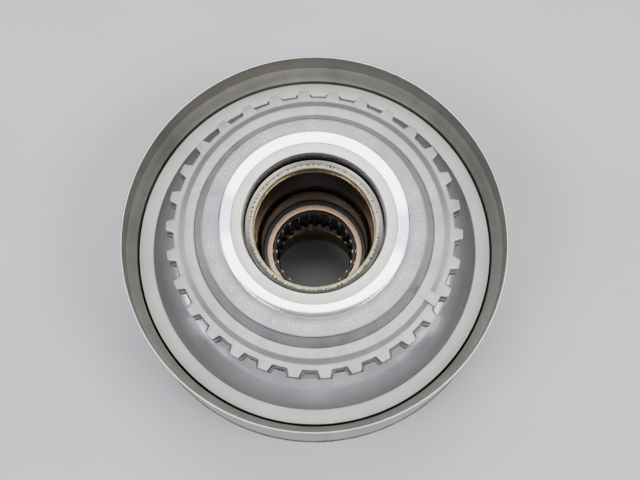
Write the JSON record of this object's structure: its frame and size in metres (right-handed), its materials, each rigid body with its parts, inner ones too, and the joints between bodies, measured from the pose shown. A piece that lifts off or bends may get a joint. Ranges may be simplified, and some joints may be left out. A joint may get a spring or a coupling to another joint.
{
  "type": "torque converter",
  "caption": "Opened vehicle torque converter: drum with torus, lock-up piston, toothed clutch hub and cast turbine hub on a pump drive tube.",
  "frame": {"origin": "centre of the pump drive hub's end face, on the shaft axis, at the bottom of the part", "axes": "+Z along the shaft axis towards the engine side (the open drum and turbine hub face); +X and +Y across the drum, with +Y away from the viewer"},
  "size_m": [0.2078, 0.2078, 0.142],
  "materials": {
    "drum_steel": "turned sheet steel, dulled",
    "shell_steel": "pressed steel with a thin grey phosphate coat",
    "weld_steel": "weld metal with heat tint",
    "machined_steel": "machined steel",
    "bronze": "sintered bronze",
    "blade_steel": "rolled sheet steel, brazed",
    "bearing_steel": "ground and hardened",
    "cage_steel": "pressed sheet steel",
    "spring_steel": "hardened spring wire",
    "cast_aluminium": "fine cast, satin",
    "bore_steel": "hardened, dark oiled bore",
    "copper_cup": "copper toned drawn cup",
    "seal_rubber": "moulded rubber",
    "mirror_steel": "ground to a mirror",
    "race_steel": "hardened, satin, yellowish",
    "brass_cage": "yellowish pressed cage",
    "clutch_steel": "satin, machined light grey",
    "polished_steel": "polished pressing",
    "ring_steel": "satin friction face, light warm grey"
  },
  "bodies": {
    "housing": {"cover_rim": "drum_steel", "impeller_shell": "shell_steel", "weld_bead": "weld_steel", "balance_weights": "shell_steel", "pump_drive_hub": "machined_steel", "pump_hub_bush": "bronze", "impeller_blades": "blade_steel", "impeller_core_ring": "blade_steel", "rear_bearing_race": "bearing_steel"},
    "rear_bearing": {"rear_bearing_cage": "cage_steel", "rear_bearing_needles": "bearing_steel"},
    "stator_race": {"stator_inner_race": "machined_steel"},
    "stator": {"clutch_outer_race": "machined_steel", "clutch_rollers": "bearing_steel", "roller_springs": "spring_steel", "stator_wheel": "cast_aluminium", "stator_thrust_plate": "bearing_steel", "stator_retainer_plate": "bearing_steel", "stator_snap_ring": "spring_steel"},
    "stator_bearing": {"stator_bearing_cage": "cage_steel", "stator_bearing_needles": "bearing_steel"},
    "turbine": {"turbine_bearing_race": "bearing_steel", "turbine_hub": "bore_steel", "needle_cup": "copper_cup", "turbine_shell": "shell_steel", "turbine_blades": "blade_steel", "turbine_core_ring": "blade_steel", "turbine_rivets": "machined_steel", "piston_inner_seal": "seal_rubber", "piston_stop_ring": "spring_steel", "hub_casting": "cast_aluminium", "pilot_ring": "mirror_steel", "front_thrust_race": "bearing_steel", "damper_flange": "machined_steel"},
    "needle_bearing": {"needle_cage": "cage_steel", "needle_rollers": "bearing_steel"},
    "front_bearing": {"front_thrust_cage": "brass_cage", "front_thrust_needles": "bearing_steel"},
    "front_washer": {"front_thrust_washer": "race_steel"},
    "damper": {"clutch_hub": "clutch_steel", "clutch_spacer_ring": "clutch_steel", "index_key": "clutch_steel", "stop_pins": "machined_steel", "damper_lower_plate": "shell_steel", "damper_upper_plate": "shell_steel", "damper_springs": "spring_steel"},
    "piston": {"lockup_piston": "polished_steel", "friction_ring": "ring_steel", "piston_drive_lugs": "machined_steel"}
  },
  "joints": [
    {"name": "turbine_spin", "type": "hinge", "parent": "housing", "child": "turbine", "pos_m": [0, 0, 0.09], "axis": [0, 0, 1], "continuous": true},
    {"name": "stator_spin", "type": "hinge", "parent": "housing", "child": "stator", "pos_m": [0, 0, 0.045], "axis": [0, 0, 1], "continuous": true},
    {"name": "stator_race_spin", "type": "hinge", "parent": "housing", "child": "stator_race", "pos_m": [0, 0, 0.045], "axis": [0, 0, 1], "continuous": true},
    {"name": "rear_bearing_spin", "type": "hinge", "parent": "housing", "child": "rear_bearing", "pos_m": [0, 0, 0.0355], "axis": [0, 0, 1], "continuous": true},
    {"name": "stator_bearing_spin", "type": "hinge", "parent": "stator", "child": "stator_bearing", "pos_m": [0, 0, 0.0545], "axis": [0, 0, 1], "continuous": true},
    {"name": "needle_bearing_spin", "type": "hinge", "parent": "turbine", "child": "needle_bearing", "pos_m": [0, 0, 0.0736], "axis": [0, 0, 1], "continuous": true},
    {"name": "front_bearing_spin", "type": "hinge", "parent": "turbine", "child": "front_bearing", "pos_m": [0, 0, 0.131], "axis": [0, 0, 1], "continuous": true},
    {"name": "front_washer_spin", "type": "hinge", "parent": "turbine", "child": "front_washer", "pos_m": [0, 0, 0.133], "axis": [0, 0, 1], "continuous": true},
    {"name": "damper_twist", "type": "hinge", "parent": "turbine", "child": "damper", "pos_m": [0, 0, 0.108], "axis": [0, 0, 1], "range_deg": [-6, 6], "stiffness_Nm_per_rad": 400, "deforming": ["damper_springs"]},
    {"name": "piston_slide", "type": "slide", "parent": "damper", "child": "piston", "axis": [0, 0, 1], "range_m": [0, 0.0012]}
  ],
  "couplings": [
    {"joint": "rear_bearing_spin", "follows": "stator_spin", "ratio": 0.5},
    {"joint": "front_bearing_spin", "follows": "front_washer_spin", "ratio": 0.5}
  ]
}
